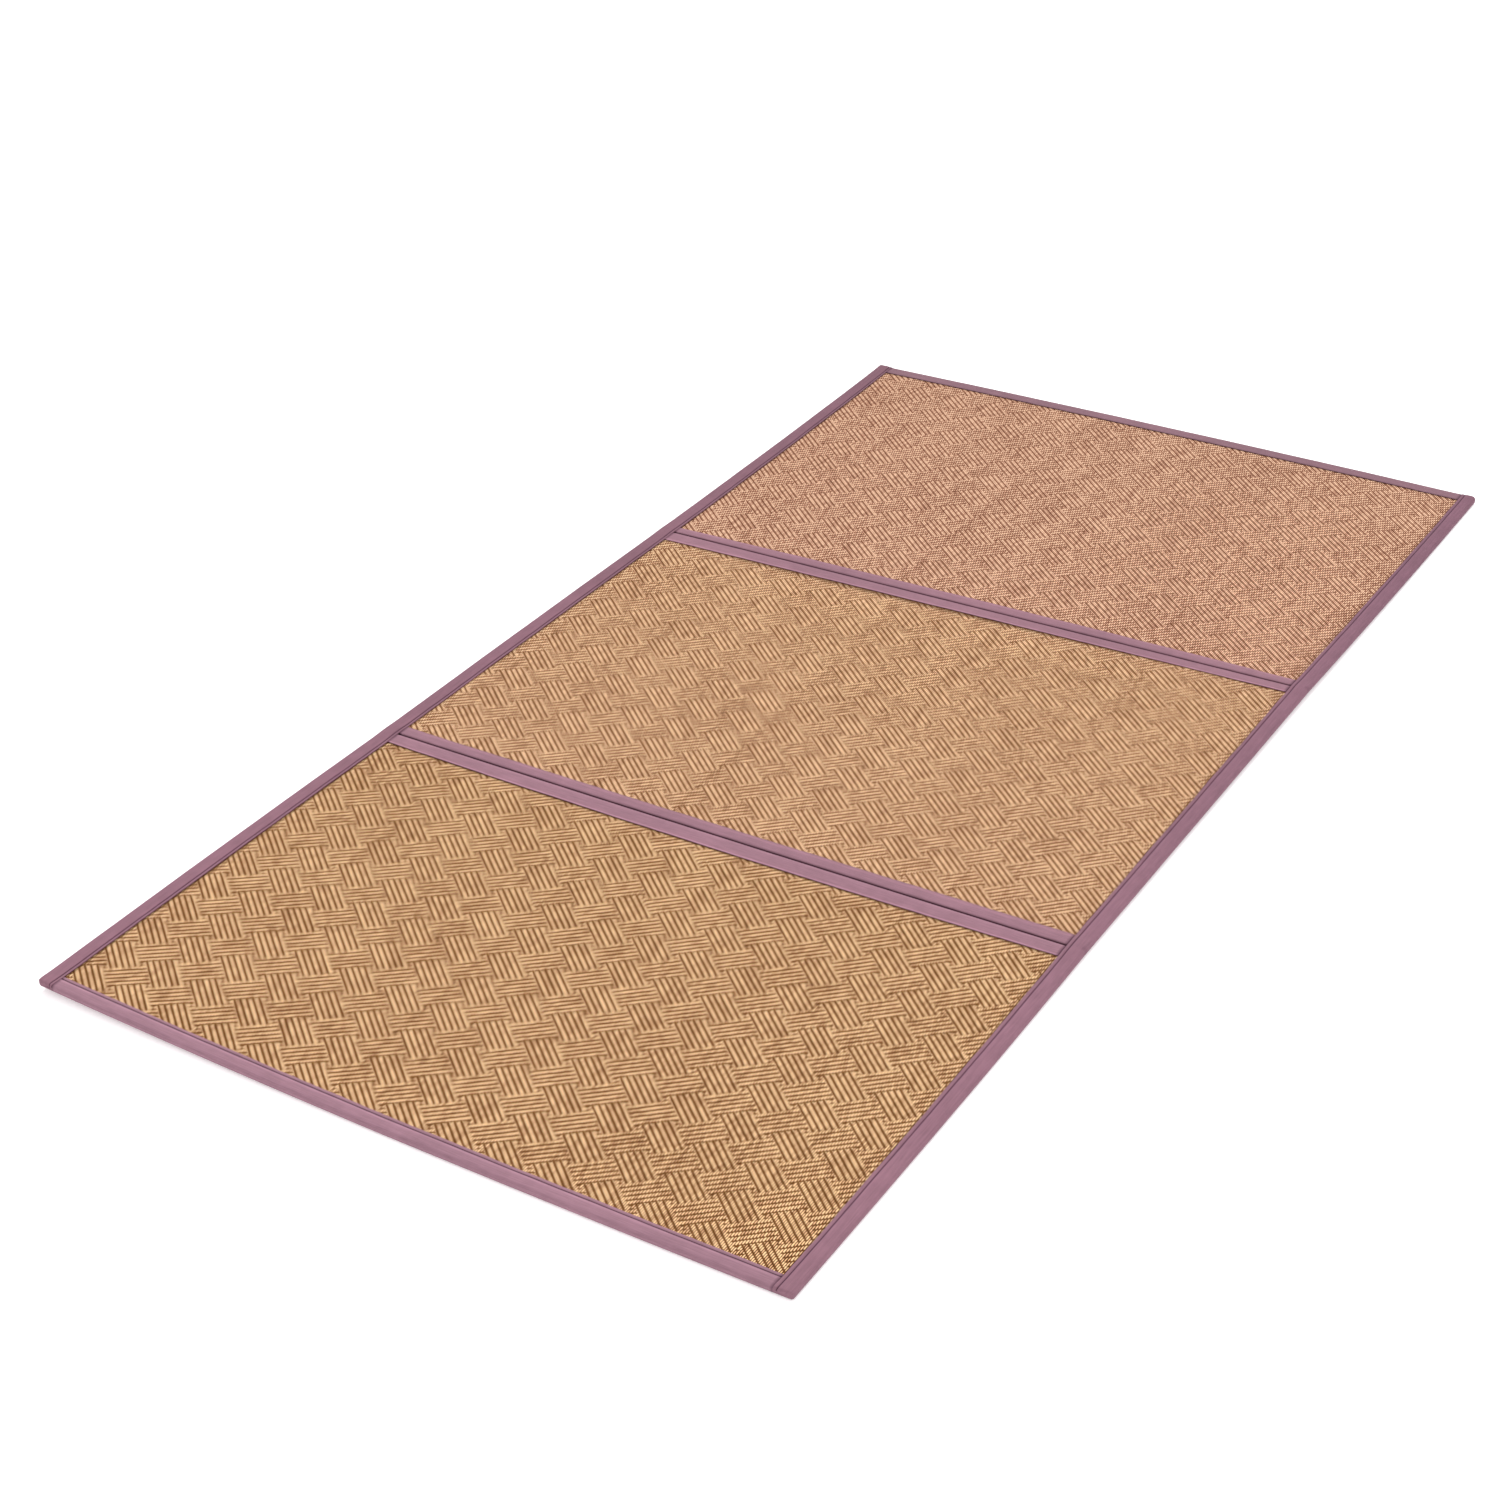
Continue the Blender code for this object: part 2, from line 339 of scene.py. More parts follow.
class Paint:
    """One material's node tree."""

    def __init__(self, name):
        self.material = bpy.data.materials.new(name)
        self.material.use_nodes = True
        self.tree = self.material.node_tree
        self.shader = self.tree.nodes["Principled BSDF"]

    def node(self, kind, settings=None, *values, **named):
        """A node of that kind: its settings first, then values or wires by place or by name."""
        made = self.tree.nodes.new(kind)
        for key, value in (settings or {}).items():
            if key == "stops":
                self.set_ramp(made, value)
            else:
                setattr(made, key, value)
        for place, value in enumerate(values):
            self.put(made.inputs[place], value)
        for key, value in named.items():
            self.put(made.inputs[key.replace("_", " ")], value)
        return Node(self, made)

    def set_ramp(self, node, ramp_stops):
        elements = node.color_ramp.elements
        while len(elements) < len(ramp_stops):
            elements.new(1.0)
        for element, (place, colour) in zip(elements, ramp_stops):
            element.position = place
            element.color = colour

    def put(self, socket, value):
        if isinstance(value, Wire):
            self.tree.links.new(value.socket, socket)
        else:
            socket.default_value = value

    def blend(self, share, first, second):
        """A colour between two, by a share from 0 to 1."""
        made = self.tree.nodes.new("ShaderNodeMix")
        made.data_type = "RGBA"
        self.put(made.inputs["Factor"], share)
        self.put(made.inputs[6], first)
        self.put(made.inputs[7], second)
        return Wire(self, made.outputs[2])

    def scaled(self, colour, factor):
        """A colour made lighter or darker."""
        return self.node("ShaderNodeVectorMath", {"operation": "SCALE"}, colour, Scale=factor).wire("Vector")

    def noise(self, vector, scale, detail=2.0, roughness=0.5):
        made = self.node("ShaderNodeTexNoise", None, Vector=vector, Scale=scale, Detail=detail,
                         Roughness=roughness)
        return made.wire("Fac")

    def random(self, first, second):
        """A value from 0 to 1 that changes with two whole numbers."""
        vector = self.node("ShaderNodeCombineXYZ", None, first, second, 0.0).wire(0)
        return self.node("ShaderNodeTexWhiteNoise", {"noise_dimensions": "2D"}, Vector=vector).wire("Value")

    def finish(self, colour, roughness, height, depth, **fixed):
        """Colour and roughness wires, bump from a height wire, and fixed values by socket name."""
        bump = self.node("ShaderNodeBump", None, Strength=1.0, Distance=depth, Height=height)
        self.put(self.shader.inputs["Base Color"], colour)
        self.put(self.shader.inputs["Roughness"], roughness)
        self.put(self.shader.inputs["Normal"], bump.wire("Normal"))
        for key, value in fixed.items():
            self.shader.inputs[key.replace("_", " ")].default_value = value
        return self.material


def tint(red, green, blue, light=SKY_LEVEL + LAMP_LEVEL):
    """The shader's colour for what looks like this, 0 to 255, on a level surface in the studio light."""
    linear = []
    for value in (red, green, blue):
        share = value / 255
        linear.append((share / 12.92 if share <= 0.04045 else ((share + 0.055) / 1.055) ** 2.4) / light)
    return (*linear, 1.0)


# Materials

def straw_material(name, gap_shadow, valley, body, light):
    """Straw strands in diagonal ribs, charted by column and row from the map of weave places. Of its four
    colours the first is painted shadow between the strands, valley the crossing strands' own colour darkened
    with painted shade, body the straw's own colour and light a painted highlight.
    """
    paint = Paint(name)
    place = paint.node("ShaderNodeUVMap", {"uv_map": "weave"}).wire("UV")
    parts = paint.node("ShaderNodeSeparateXYZ", None, place)
    u, v = parts.wire("X"), parts.wire("Y")
    column, row = u.floor(), v.floor()
    rising, falling = column + row, column - row
    in_rising_strip = (rising + DOT / 2) % BLOCK < DOT
    in_falling_strip = (falling + DOT / 2) % BLOCK < DOT
    odd_block = ((rising / BLOCK).floor() + (falling / BLOCK).floor()) % 2
    slanting_up = in_rising_strip.at_least((1 - in_falling_strip) * odd_block)
    in_dot = in_rising_strip * in_falling_strip
    basket = row + (column / 2).floor() * 2
    chart = slanting_up * -falling + (1 - slanting_up) * rising
    chart = in_dot * basket + (1 - in_dot) * chart
    phase = (chart + (v - row)) % RIB_ROWS / RIB_ROWS
    along_float = (phase / FLOAT_SHARE).at_most(1.0)
    lobe = (along_float * math.pi).sine().at_least(0.0) ** 0.5
    round_strand = ((u - column) * math.pi).sine().at_least(0.0)
    strand_tone = paint.random(column, ((v - phase * RIB_ROWS) + 0.5).floor())
    column_tone = paint.random(column, 7.0)
    at = paint.node("ShaderNodeTexCoord").wire("Object")
    patch = paint.noise(at, 9.0, 3.0)
    fibre = paint.noise(paint.node("ShaderNodeMapping", None, Vector=at, Scale=(900.0, 90.0, 900.0))
                        .wire("Vector"), 1.0, 2.0)
    uneven = strand_tone * 0.40 + column_tone * 0.10 + patch * 0.16 + fibre * 0.10 - 0.38
    # Painted light on each strand: a highlight along its crown and shadow at its sides, over the straw's own
    # uneven tone.
    shade = round_strand * (lobe * 0.35 + 0.65) + uneven
    strand = paint.node("ShaderNodeValToRGB", {"stops": (
        (0.34, gap_shadow), (0.64, body), (0.92, light))}, shade.at_least(0.0).at_most(1.0))
    # Under the floats, the crossing strands darkened with painted shade, darkest in the gaps between them.
    between = paint.blend((round_strand + uneven).at_least(0.0).at_most(1.0), gap_shadow, valley)
    colour = paint.blend((lobe * 1.5).at_most(1.0), between, strand.wire("Color"))
    edge_shade = paint.node("ShaderNodeAttribute", {"attribute_name": "edge_shade"}).wire("Fac")
    colour = paint.blend(edge_shade, colour, gap_shadow)
    height = lobe * round_strand
    return paint.finish(colour, 0.6 - height * 0.15, height + fibre * 0.12, 0.0006,
                        Specular_IOR_Level=0.03)


def cloth_material(name, near, far):
    """Plain-woven binding cloth: one colour near the front of the mat and another near the back, with
    fine threads and soft streaks along it, painted shade in its creases and a painted highlight along its
    crest."""
    paint = Paint(name)
    place = paint.node("ShaderNodeUVMap", {"uv_map": "cloth"}).wire("UV")
    parts = paint.node("ShaderNodeSeparateXYZ", None, place)
    along, across = parts.wire("X"), parts.wire("Y")
    thread_u = (along * (2 * math.pi / CLOTH_THREAD)).sine()
    thread_v = (across * (2 * math.pi / CLOTH_THREAD)).sine()
    threads = thread_u * thread_v
    at = paint.node("ShaderNodeTexCoord").wire("Object")
    mottle = paint.noise(at, 60.0, 4.0, 0.6)
    slub = paint.noise(paint.node("ShaderNodeMapping", None, Vector=place, Scale=(30.0, 700.0, 1.0))
                       .wire("Vector"), 1.0, 3.0)
    crease = paint.node("ShaderNodeAttribute", {"attribute_name": "crease"}).wire("Fac")
    crest = paint.node("ShaderNodeAttribute", {"attribute_name": "crest"}).wire("Fac")
    far_share = paint.node("ShaderNodeSeparateXYZ", None, at).wire("Y") / MAT_LENGTH + 0.5
    colour = paint.blend(far_share.at_least(0.0).at_most(1.0), near, far)
    patch = paint.noise(at, 5.0, 2.0)
    streak = mottle * 0.5 + slub * 0.9 + threads * 0.05 + patch * 0.5 - 0.95
    # The cloth's own streaks, and a painted highlight along the crest.
    colour = paint.scaled(colour, (streak * 0.6 + 1.0) * (crest * 0.22 + 1.0))
    # Painted shade, dark plum, in the creases, seam grooves, cut edges and fold gaps.
    colour = paint.blend((crease * 0.95).at_most(1.0), colour, tint(72, 26, 54))
    height = threads * 0.4 + slub * 0.7 + mottle * 0.4
    return paint.finish(colour, 0.78 + mottle * 0.12, height, 0.00018,
                        Sheen_Weight=0.04, Sheen_Roughness=0.5, Specular_IOR_Level=0.1)


def thread_material():
    paint = Paint("stitch_thread")
    at = paint.node("ShaderNodeTexCoord").wire("Object")
    twist = paint.noise(at, 2500.0, 1.0)
    colour = paint.blend(twist, tint(70, 34, 62), tint(112, 70, 100))
    return paint.finish(colour, 0.6 + twist * 0.2, twist, 0.0001)


def floor_material():
    paint = Paint("pale_floor")
    at = paint.node("ShaderNodeTexCoord").wire("Object")
    grain = paint.noise(at, 3.0, 2.0)
    colour = paint.blend(grain, tint(253, 253, 253, 1.0), tint(255, 255, 255, 1.0))
    return paint.finish(colour, 0.9 + grain * 0.05, grain, 0.00001, Specular_IOR_Level=0.0,
                        Emission_Color=(1.0, 1.0, 1.0, 1.0), Emission_Strength=FLOOR_GLOW)


# Woven panels

def chart_lobe(column, row):
    """Height, 0 to 1, of the strand at the middle of each column and at each row."""
    whole_row = np.floor(row)
    rising, falling = column + whole_row, column - whole_row
    in_rising = np.mod(rising + DOT / 2, BLOCK) < DOT
    in_falling = np.mod(falling + DOT / 2, BLOCK) < DOT
    odd = np.mod(np.floor(rising / BLOCK) + np.floor(falling / BLOCK), 2) == 1
    up = in_rising | (~in_falling & odd)
    basket = whole_row + np.floor(column / 2) * 2
    chart = np.where(in_rising & in_falling, basket, np.where(up, -falling, rising))
    phase = np.mod(chart + (row - whole_row), RIB_ROWS) / RIB_ROWS
    along = np.minimum(phase / FLOAT_SHARE, 1.0)
    return np.maximum(np.sin(along * math.pi), 0.0) ** 0.7


def grid_faces(rows, columns, start=0, flip=False):
    first = np.arange(rows - 1)[:, None] * columns + np.arange(columns - 1)[None, :] + start
    quads = np.stack([first, first + 1, first + columns + 1, first + columns], axis=-1).reshape(-1, 4)
    if flip:
        quads = quads[:, ::-1]
    return quads.tolist()


def panel_ends(index):
    near = LIE[index][1] + EDGE_INSET + (FOLD_GAP / 2 if index > 0 else 0.0)
    far = LIE[index + 1][1] - EDGE_INSET - (FOLD_GAP / 2 + FOLD_STAND_BACK if index < 2 else 0.0)
    return near, far


def weave_drift(index, x, y):
    """How far the weave has moved from an even lattice at places on a panel, across and along."""
    _, _, across, along = WEAVES[index]
    side = np.clip(x / HALF_WIDTH, -1.0, 1.0)
    end = np.clip((y - LIE[index][1]) / PANEL_LENGTH * 2 - 1, -1.0, 1.0)
    shapes = (side, end, side * side, side * end, end * end)
    moved = [sum(amount * shape for amount, shape in zip(amounts, shapes)) for amounts in (across, along)]
    return moved[0] * MM, moved[1] * MM


def weave_place(index, x, y):
    """Column and row of the weave at places on a panel."""
    dot_x, dot_y = WEAVES[index][1]
    moved_x, moved_y = weave_drift(index, x, y)
    return (x - dot_x * MM - moved_x) / COLUMN, (y - dot_y * MM - moved_y) / ROW


def flat_place(index, column, row):
    """Place on a panel of a column and row of its weave."""
    dot_x, dot_y = WEAVES[index][1]
    even_x, even_y = dot_x * MM + column * COLUMN, dot_y * MM + row * ROW
    x, y = even_x, even_y
    for _ in range(4):
        moved_x, moved_y = weave_drift(index, x, y)
        x, y = even_x + moved_x, even_y + moved_y
    return x, y


def strand_middles(low, high, dot, pitch):
    """Middles of the columns or rows that reach from low to high, with some to spare."""
    first = math.floor((low - dot * MM) / pitch) - SPARE_STRANDS
    last = math.ceil((high - dot * MM) / pitch) + SPARE_STRANDS
    return np.arange(first, last) + 0.5


def add_rims(grid, low, high):
    """The grid with two more columns at each side: the side's own place and one halfway to it."""
    first, last = grid[:, :1], grid[:, -1:]
    edge_low = first if low is None else np.full_like(first, low)
    edge_high = last if high is None else np.full_like(last, high)
    return np.hstack([edge_low, (edge_low + first) / 2, grid, (edge_high + last) / 2, edge_high])


def weave_grid(index):
    """Places on the flat mat of the panel's points: each strand's middle, row by row, and the rims."""
    near, far = panel_ends(index)
    half = HALF_WIDTH - EDGE_INSET
    dot_x, dot_y = WEAVES[index][1]
    column, row = np.meshgrid(strand_middles(-half, half, dot_x, COLUMN),
                              strand_middles(near, far, dot_y, ROW))
    x, y = flat_place(index, column, row)
    kept_columns = (np.abs(x) < half - WEAVE_MARGIN).all(axis=0)
    margin = WEAVE_END_MARGINS[index]
    kept_rows = ((y > near + margin) & (y < far - margin)).all(axis=1)
    x, y = x[kept_rows][:, kept_columns], y[kept_rows][:, kept_columns]
    x, y = add_rims(x, -half, half), add_rims(y, None, None)
    return add_rims(x.T, None, None).T, add_rims(y.T, near, far).T


def binding_shade(index, x, y):
    """How dark the straw is at places on a panel for lying beside a binding."""
    near, far = (BANDS[node] for node in PANEL_BINDINGS[index])
    left, right = BANDS["binding_left_side"], BANDS["binding_right_side"]
    near_y = LIE[index][1] + (FOLD_GAP / 2 if index > 0 else 0.0)
    far_y = LIE[index + 1][1] - (FOLD_GAP / 2 if index < 2 else 0.0)
    side, end = x / HALF_WIDTH, y / HALF_LENGTH
    sides = (
        (near, y - near_y - band_place(near, BAND_WIDTH, side)),
        (far, far_y - y - band_place(far, BAND_WIDTH, side)),
        (left, x + HALF_WIDTH - band_place(left, BAND_WIDTH, end)),
        (right, HALF_WIDTH - x - band_place(right, BAND_WIDTH, end)),
    )
    shades = [band.shade * np.clip(1 - away / SHADE_REACH, 0.0, 1.0) for band, away in sides]
    return np.max(shades, axis=0)


def make_panel(index, material):
    name = WEAVES[index][0]
    grid_x, grid_y = weave_grid(index)
    column, row = weave_place(index, grid_x, grid_y)
    near, far = panel_ends(index)
    showing = np.abs(grid_x) < HALF_WIDTH - EDGE_INSET - WEAVE_MARGIN
    margin = WEAVE_END_MARGINS[index]
    showing &= (grid_y > near + margin) & (grid_y < far - margin)
    lobe = chart_lobe(np.floor(column), row)
    top = PANEL_HIGH + np.where(showing, (lobe - RELIEF_LEVEL) * WEAVE_RELIEF, 0.0)
    top_points = np.stack([grid_x, grid_y, top], axis=-1).reshape(-1, 3)
    rows, columns = grid_x.shape
    under_rows = np.linspace(0, rows - 1, 4).round().astype(int)
    under_x, under_y = grid_x[under_rows], grid_y[under_rows]
    under_points = np.stack([under_x, under_y, np.full_like(under_x, PANEL_LOW)], axis=-1).reshape(-1, 3)
    under_start = rows * columns
    faces = grid_faces(rows, columns)
    faces += grid_faces(len(under_rows), columns, under_start, flip=True)
    for edge_row, under_row, flip in ((0, 0, False), (rows - 1, len(under_rows) - 1, True)):
        for i in range(columns - 1):
            a, b = edge_row * columns + i, under_start + under_row * columns + i
            quad = [a, b, b + 1, a + 1]
            faces.append(quad[::-1] if flip else quad)
    for edge_column, flip in ((0, True), (columns - 1, False)):
        for k in range(len(under_rows) - 1):
            low_row, high_row = under_rows[k], under_rows[k + 1]
            upper = [r * columns + edge_column for r in range(low_row, high_row + 1)]
            lower = [under_start + k * columns + edge_column, under_start + (k + 1) * columns + edge_column]
            side_face = lower + upper[::-1]
            faces.append(side_face[::-1] if flip else side_face)
    flat = np.concatenate([top_points, under_points])
    piece = make_piece(f"woven_panel_{name}", lay(flat), faces, material)
    face_outwards(piece)
    give_point_values(piece, "edge_shade", binding_shade(index, flat[:, 0], flat[:, 1]))
    give_map(piece, "weave", np.stack(weave_place(index, flat[:, 0], flat[:, 1]), axis=-1))
    return piece


# Bindings

def arc(radius, inset, low_side, steps=6):
    points = []
    for i in range(1, steps):
        angle = math.pi / 2 * i / steps
        drop, inwards = radius * (1 - math.cos(angle)), radius * (1 - math.sin(angle))
        if low_side:
            points.append((inset + drop, inset + inwards))
        else:
            points.append((inset + inwards, MAT_THICKNESS - inset - drop))
    return points


def band_place(band, inwards, side):
    """How far in from the edge of the mat or panel a place of the section lies, at a side from -1 to 1."""
    width, back = across_three(band.widths, side) * MM, band.back * MM
    return back + inwards * (width - back) / BAND_WIDTH


def top_profile(inwards, band):
    """Height of the band's top above the flat cloth, and how much painted shade it gets in the seam's
    crease.
    """
    seam_place, swell = band.seam * BAND_WIDTH, band.swell * MM
    beyond = inwards - seam_place
    if beyond < 0:
        up = swell * (1 - math.exp(beyond / SWELL_REACH)) * (1 - math.exp(-inwards / OUTER_REACH))
    elif beyond > 0:
        up = 0.4 * swell * math.sin(math.pi * beyond / (BAND_WIDTH - seam_place))
    else:
        up = 0.0
    groove = math.exp(-(beyond / SEAM_HALF_WIDTH) ** 2)
    return up - SEAM_DEPTH * groove, groove if band.seam < 0.9 else 0.3 * groove


def channel_section(band):
    """The folded cloth's outer and inner paths as (inwards, up, painted crease shade)."""
    seam_place = band.seam * BAND_WIDTH
    edge = EDGE_RADIUS if band.back == 0.0 else FOLD_EDGE_RADIUS
    near_seam = [seam_place + k * SEAM_HALF_WIDTH for k in (1.6, 1.0, 0.5, 0.0, -0.5, -1.0, -1.6)]
    flange = list(np.linspace(BAND_WIDTH - EDGE_LIP, near_seam[0], 5)[:-1]) if band.seam < 0.9 else []
    body = list(np.linspace(seam_place - 2.4 * SEAM_HALF_WIDTH, edge, 14))
    tops = flange + [s for s in near_seam if s < BAND_WIDTH - 0.0005] + body
    outer = [(BAND_WIDTH, MAT_THICKNESS - EDGE_LIP, 0.5)]
    for inwards in tops:
        up, groove = top_profile(inwards, band)
        outer.append((inwards, MAT_THICKNESS + up, groove))
    outer += [(s, h, 0.0) for s, h in arc(edge, 0.0, False)]
    outer += [(0.0, MAT_THICKNESS - edge, 0.0), (0.0, MAT_THICKNESS / 2, 0.0), (0.0, EDGE_RADIUS, 0.0)]
    outer += [(s, h, 0.0) for s, h in arc(EDGE_RADIUS, 0.0, True)]
    outer += [(s, 0.0, 0.0) for s in (EDGE_RADIUS, BAND_WIDTH / 2, BAND_WIDTH)]
    high = MAT_THICKNESS - CLOTH
    inner = [(BAND_WIDTH, CLOTH, 1.0), (EDGE_RADIUS, CLOTH, 1.0)]
    inner += [(s, h, 1.0) for s, h in reversed(arc(EDGE_RADIUS - CLOTH, CLOTH, True, 3))]
    inner += [(CLOTH, EDGE_RADIUS, 1.0), (CLOTH, MAT_THICKNESS - edge, 1.0)]
    inner += [(s, h, 1.0) for s, h in reversed(arc(edge - CLOTH, CLOTH, False, 3))]
    inner += [(edge, high, 1.0), (BAND_WIDTH, high, 1.0)]
    return outer, inner


def crest_share(inwards, up, band):
    """How much a place on the folded cloth is lightened: a painted highlight along its crest, and on the
    front fold bindings a pale line near the inner edge.
    """
    if up < MAT_THICKNESS - EDGE_RADIUS / 2:
        return 0.0
    off = (band.crest * BAND_WIDTH - inwards) / CREST_HALF_WIDTH
    pale = band.pale * math.exp(-off * off)
    if band.back > 0:
        selvedge = (BAND_WIDTH - SELVEDGE_INSET - inwards) / SELVEDGE_HALF_WIDTH
        pale += SELVEDGE_PALE * math.exp(-selvedge * selvedge)
    return pale


def gap_shade(inwards, up, band):
    """How dark a place on a fold binding is for lying down in the gap."""
    if band.back == 0.0 or inwards > EDGE_RADIUS:
        return 0.0
    return min(1.0, max(0.0, (MAT_THICKNESS - up - GAP_SHADE_DEPTH) / GAP_SHADE_FADE))


def cut_size(band, length):
    """Width and length of the flat cloth that a binding is folded from."""
    outer, _ = channel_section(band)
    narrower = BAND_WIDTH - (sum(band.widths) / 3 - band.back) * MM
    return developed(outer)[-1] - 2 * narrower, length


def developed(path):
    """Distance along a path from its start."""
    lengths = [0.0]
    for (s0, h0, _), (s1, h1, _) in zip(path, path[1:]):
        lengths.append(lengths[-1] + math.hypot(s1 - s0, h1 - h0))
    return lengths


def wobble(place, salt):
    """A gentle unevenness from -1 to 1 along a seam, the same each time."""
    return (0.5 * math.sin(place * 31.0 + salt * 2.1) + 0.3 * math.sin(place * 77.0 + salt * 5.3)
            + 0.2 * math.sin(place * 171.0 + salt * 1.7))


def between_sides(y, step):
    """Places across the mat from one long binding to the other."""
    left = band_place(BANDS["binding_left_side"], BAND_WIDTH, y / HALF_LENGTH)
    right = band_place(BANDS["binding_right_side"], BAND_WIDTH, y / HALF_LENGTH)
    return stops(-HALF_WIDTH + left + CLEARANCE, HALF_WIDTH - right - CLEARANCE, step)


def end_binding(name, edge_y, inwards_sign, band, material, salt):
    """Cloth folded over an edge across the mat. Its top swells and its edges wander a little."""
    outer, inner = channel_section(band)
    path = outer + inner
    lengths = developed(outer) + developed(inner)
    xs = between_sides(edge_y, 0.004)
    flat, crease, crest, place = [], [], [], []
    for x in xs:
        swell = SWELL_ACROSS * wobble(x, salt)
        wander = WANDER_ACROSS * wobble(x * 1.3 + 5.0, salt)
        near_end = math.exp(-(min(x - xs[0], xs[-1] - x) / END_SHADE_REACH) ** 2)
        for k, (s, h, dark) in enumerate(path):
            top_share = max(0.0, 2 * h / MAT_THICKNESS - 1) if k < len(outer) else 0.0
            inner_share = (s / BAND_WIDTH) ** 4 if top_share > 0 else 0.0
            inwards = band_place(band, s, x / HALF_WIDTH) + wander * inner_share
            flat.append((x, edge_y + inwards_sign * inwards, h + swell * top_share))
            # Painted shade at the cut edge, inside the fold and in the seam groove, near the ends where the
            # cloth runs under the long bindings, and down in a fold gap.
            crease.append(min(1.0, dark + 0.7 * near_end + gap_shade(s, h, band)))
            crest.append(crest_share(s, h, band) if k < len(outer) else 0.0)
            place.append((x, lengths[k]))
    columns = len(path)
    faces = []
    for i in range(len(xs) - 1):
        for k in range(columns):
            m = (k + 1) % columns
            faces.append([i * columns + k, i * columns + m, (i + 1) * columns + m, (i + 1) * columns + k])
    faces.append(list(range(columns)))
    faces.append(list(range((len(xs) - 1) * columns, len(xs) * columns)))
    return finish_cloth(name, flat, faces, material, crease, crest, place)


def finish_cloth(name, flat, faces, material, crease, crest, place):
    """A cloth piece where the mat lies, with painted shade in its creases, a painted highlight on its pale
    crest and map of the cloth.
    """
    piece = make_piece(name, lay(flat), faces, material)
    face_outwards(piece)
    give_point_values(piece, "crease", crease)
    give_point_values(piece, "crest", crest)
    give_map(piece, "cloth", place)
    return piece


def binding_rise(y):
    """How far a long binding's top stands up where it passes an end or a fold."""
    nearest = min(abs(y - row[1]) for row in LIE)
    if nearest >= RISE_REACH:
        return 0.0
    return BINDING_RISE * (1 + math.cos(math.pi * nearest / RISE_REACH)) / 2


def long_binding(name, side, front_radius, back_radius, band, material, salt):
    """Cloth folded over a long edge of the mat and tucked in at both ends."""
    outer, inner = channel_section(band)
    outer_lengths, inner_lengths = developed(outer), developed(inner)
    from_end = [0.0, 0.0003, CLOTH, 0.0014, 0.002, 0.0026, EDGE_RADIUS, 0.004, 0.006]
    ys = [-HALF_LENGTH + d for d in from_end] + [HALF_LENGTH - d for d in from_end]
    ys = sorted(ys + list(stops(-HALF_LENGTH + 0.009, HALF_LENGTH - 0.009, 0.005)))
    walls = [i for i, y in enumerate(ys) if HALF_LENGTH - abs(y) >= CLOTH - 1e-7]
    flat, crease, crest, place = [], [], [], []

    def add_row(y, path, lengths, is_outer):
        radius = front_radius if y < 0 else back_radius
        distance = HALF_LENGTH - abs(y)
        plan, squeeze = rounding(distance, radius), rounding(distance, EDGE_RADIUS)
        rise, swell = binding_rise(y), SWELL_ALONG * wobble(y, salt)
        wander = WANDER_ALONG * wobble(y * 1.2 + 3.0, salt)
        fold_pinch = sum(math.exp(-((y - fold) / PINCH_REACH) ** 2) for fold in (FOLD_1, FOLD_2))
        start = len(flat)
        for (s, h, dark), length in zip(path, lengths):
            top_share = max(0.0, 2 * h / MAT_THICKNESS - 1)
            inwards = plan + band_place(band, s, y / HALF_LENGTH) * (BAND_WIDTH - plan) / BAND_WIDTH
            inner_share = (s / BAND_WIDTH) ** 4 if top_share > 0 and is_outer else 0.0
            up = squeeze + h * (MAT_THICKNESS - 2 * squeeze) / MAT_THICKNESS
            up += (rise + (swell if is_outer else 0.0)) * top_share
            flat.append((side * (HALF_WIDTH - inwards - wander * inner_share), y, up))
            # Painted shade at the cut edge, inside the fold and in the seam groove, and where the cloth
            # creases over a fold.
            crease.append(min(1.0, dark + 0.25 * fold_pinch * (1 if s < EDGE_RADIUS * 2 else 0)))
            crest.append(crest_share(s, h, band) if is_outer else 0.0)
            place.append((y, length))
        return list(range(start, len(flat)))

    outer_rows = [add_row(y, outer, outer_lengths, True) for y in ys]
    inner_rows = [add_row(ys[i], inner, inner_lengths, False) for i in walls]
    faces = []
    for rows in (outer_rows, inner_rows):
        for near, far in zip(rows, rows[1:]):
            for k in range(len(near) - 1):
                faces.append([near[k], near[k + 1], far[k + 1], far[k]])
    wall_rows = [outer_rows[i] for i in walls]
    for near_out, far_out, near_in, far_in in zip(wall_rows, wall_rows[1:], inner_rows, inner_rows[1:]):
        faces.append([near_out[0], near_in[-1], far_in[-1], far_out[0]])
        faces.append([near_out[-1], near_in[0], far_in[0], far_out[-1]])
    for outside, cavity in ((outer_rows[:walls[0] + 1], inner_rows[0]),
                            (outer_rows[walls[-1]:][::-1], inner_rows[-1])):
        faces.append(outside[0])
        faces.append(cavity)
        mouth = [row[0] for row in outside] + [cavity[-1], cavity[0]] + [row[-1] for row in outside[::-1]]
        faces.append(mouth)
    return finish_cloth(name, flat, faces, material, crease, crest, place)


# Stitches, laid along a seam by a node tree

